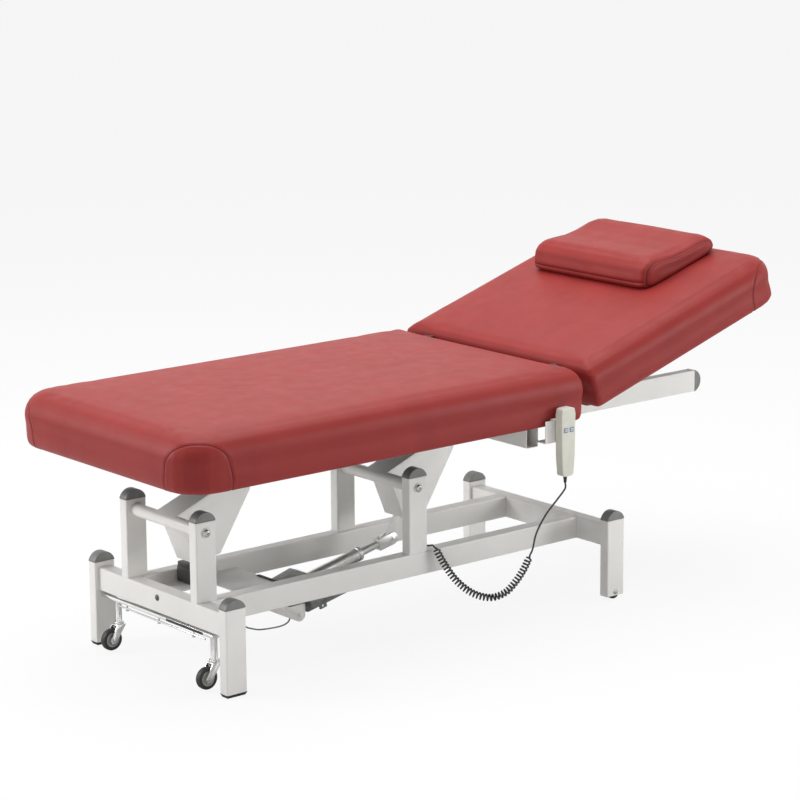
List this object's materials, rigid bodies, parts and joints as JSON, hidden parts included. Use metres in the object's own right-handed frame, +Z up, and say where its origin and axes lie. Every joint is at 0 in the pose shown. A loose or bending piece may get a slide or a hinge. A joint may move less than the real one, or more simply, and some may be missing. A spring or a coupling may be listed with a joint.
{
  "type": "electric massage table",
  "caption": "Electric massage table: lever lift on a steel frame, padded seat, tilting back, loose pillow, hand switch on a curly cord and transport wheels.",
  "frame": {"origin": "on the floor, under the middle of the overall box", "axes": "+X towards the head end, +Y to the side away from the hand switch, +Z up"},
  "size_m": [1.9812, 0.7936, 0.923],
  "materials": {
    "frame_coat": "satin",
    "cap_plastic": "matte",
    "black_plastic": "matte",
    "zinc_steel": "satin",
    "chrome": "polished",
    "motor_metal": "satin",
    "rubber": "matte",
    "upholstery": "satin",
    "plywood": "matte",
    "switch_plastic": "satin",
    "button_plastic": "satin",
    "cord_sheath": "matte"
  },
  "bodies": {
    "base": {"cross_member_foot": "frame_coat", "cross_member_head": "frame_coat", "side_rail_near": "frame_coat", "side_rail_far": "frame_coat", "leg_foot_near": "frame_coat", "leg_foot_far": "frame_coat", "leg_head_near": "frame_coat", "leg_head_far": "frame_coat", "leg_cap_foot_near": "cap_plastic", "leg_cap_foot_far": "cap_plastic", "leg_cap_head_near": "cap_plastic", "leg_cap_head_far": "cap_plastic", "upright_foot_near": "frame_coat", "upright_foot_far": "frame_coat", "upright_mid_near": "frame_coat", "upright_mid_far": "frame_coat", "upright_cap_foot_near": "cap_plastic", "upright_cap_foot_far": "cap_plastic", "upright_cap_mid_near": "cap_plastic", "upright_cap_mid_far": "cap_plastic", "foot_pad_near": "black_plastic", "foot_pad_far": "black_plastic", "base_plate": "frame_coat", "control_box": "black_plastic", "foot_pivot_bolt": "zinc_steel", "mid_pivot_bolt": "zinc_steel", "cord_curls": "cord_sheath", "actuator_cable": "cord_sheath"},
    "foot_lever": {"foot_lever": "frame_coat"},
    "mid_lever": {"mid_lever": "frame_coat"},
    "actuator": {"actuator_motor": "motor_metal", "actuator_tube": "zinc_steel"},
    "actuator_rod": {"actuator_rod": "zinc_steel"},
    "top_frame": {"top_rail_near": "frame_coat", "top_rail_far": "frame_coat", "top_rail_cap_near": "cap_plastic", "top_rail_cap_far": "cap_plastic", "top_cross_foot": "frame_coat", "top_cross_mid": "frame_coat", "top_cross_hinge": "frame_coat", "seat_board": "plywood", "seat_cushion": "upholstery", "cord_lead": "cord_sheath"},
    "back": {"back_frame": "frame_coat", "back_board": "plywood", "back_cushion": "upholstery"},
    "strut_cylinder": {"strut_cylinder": "motor_metal"},
    "strut_rod": {"strut_rod": "chrome"},
    "pillow": {"pillow": "upholstery"},
    "hand_switch": {"switch_shell": "switch_plastic", "switch_strain_relief": "switch_plastic"},
    "button_up": {"button_up": "button_plastic"},
    "button_down": {"button_down": "button_plastic"},
    "caster_carriage": {"caster_bar": "zinc_steel"},
    "caster_fork_near": {"caster_fork_near": "chrome"},
    "caster_fork_far": {"caster_fork_far": "chrome"},
    "caster_wheel_near": {"caster_wheel_near": "rubber"},
    "caster_wheel_far": {"caster_wheel_far": "rubber"},
    "head_wheel_near": {"head_wheel_near": "rubber"},
    "head_wheel_far": {"head_wheel_far": "rubber"}
  },
  "joints": [
    {"name": "lift", "type": "hinge", "parent": "base", "child": "mid_lever", "pos_m": [-0.12757, 0.01775, 0.378], "axis": [0, -1, 0], "range_deg": [0, 48]},
    {"name": "foot_lever_turn", "type": "hinge", "parent": "base", "child": "foot_lever", "pos_m": [-0.79307, 0.01775, 0.378], "axis": [0, -1, 0], "range_deg": [0, 48]},
    {"name": "top_frame_level", "type": "hinge", "parent": "mid_lever", "child": "top_frame", "pos_m": [0.09477, 0.01775, 0.4629], "axis": [0, -1, 0], "range_deg": [-48, 0]},
    {"name": "actuator_tilt", "type": "hinge", "parent": "base", "child": "actuator", "pos_m": [-0.40057, 0.01775, 0.06], "axis": [0, -1, 0], "range_deg": [0, 6.67]},
    {"name": "actuator_stroke", "type": "slide", "parent": "actuator", "child": "actuator_rod", "axis": [0.9763, 0, 0.2164], "range_m": [0, 0.1466]},
    {"name": "back_tilt", "type": "hinge", "parent": "top_frame", "child": "back", "pos_m": [0.25943, 0.01775, 0.655], "axis": [0, -1, 0], "range_deg": [-17.4, 36]},
    {"name": "strut_tilt", "type": "hinge", "parent": "top_frame", "child": "strut_cylinder", "pos_m": [0.30543, 0.01775, 0.497], "axis": [0, -1, 0], "range_deg": [-15.3, 31.65]},
    {"name": "strut_stroke", "type": "slide", "parent": "strut_cylinder", "child": "strut_rod", "axis": [0.9284, 0, 0.3716], "range_m": [-0.0469, 0.0969]},
    {"name": "pillow_lift", "type": "slide", "parent": "back", "child": "pillow", "axis": [-0.299, 0, 0.9542], "range_m": [0, 0.12]},
    {"name": "switch_lift", "type": "slide", "parent": "top_frame", "child": "hand_switch", "axis": [0, 0, 1], "range_m": [0, 0.08]},
    {"name": "button_up_press", "type": "slide", "parent": "hand_switch", "child": "button_up", "axis": [0, 1, 0], "range_m": [0, 0.0012], "stiffness_N_per_m": 400},
    {"name": "button_down_press", "type": "slide", "parent": "hand_switch", "child": "button_down", "axis": [0, 1, 0], "range_m": [0, 0.0012], "stiffness_N_per_m": 400},
    {"name": "caster_lower", "type": "slide", "parent": "base", "child": "caster_carriage", "axis": [0, 0, -1], "range_m": [0, 0.012]},
    {"name": "caster_swivel_near", "type": "hinge", "parent": "caster_carriage", "child": "caster_fork_near", "pos_m": [-0.80657, -0.18725, 0.07], "axis": [0, 0, 1], "continuous": true},
    {"name": "caster_roll_near", "type": "hinge", "parent": "caster_fork_near", "child": "caster_wheel_near", "pos_m": [-0.83057, -0.18725, 0.031], "axis": [0, 1, 0], "continuous": true},
    {"name": "caster_swivel_far", "type": "hinge", "parent": "caster_carriage", "child": "caster_fork_far", "pos_m": [-0.80657, 0.22275, 0.07], "axis": [0, 0, 1], "continuous": true},
    {"name": "caster_roll_far", "type": "hinge", "parent": "caster_fork_far", "child": "caster_wheel_far", "pos_m": [-0.83057, 0.22275, 0.031], "axis": [0, 1, 0], "continuous": true},
    {"name": "head_wheel_roll_near", "type": "hinge", "parent": "base", "child": "head_wheel_near", "pos_m": [0.44693, -0.26175, 0.02], "axis": [0, 1, 0], "continuous": true},
    {"name": "head_wheel_roll_far", "type": "hinge", "parent": "base", "child": "head_wheel_far", "pos_m": [0.44693, 0.29725, 0.02], "axis": [0, 1, 0], "continuous": true}
  ],
  "couplings": [
    {"joint": "foot_lever_turn", "follows": "lift", "ratio": 1},
    {"joint": "top_frame_level", "follows": "lift", "ratio": -1},
    {"joint": "actuator_tilt", "follows": "lift", "ratio": 0.13842},
    {"joint": "actuator_stroke", "follows": "lift", "m_per_rad": 0.17476},
    {"joint": "strut_tilt", "follows": "back_tilt", "ratio": 0.87836},
    {"joint": "strut_stroke", "follows": "back_tilt", "m_per_rad": 0.15399}
  ]
}
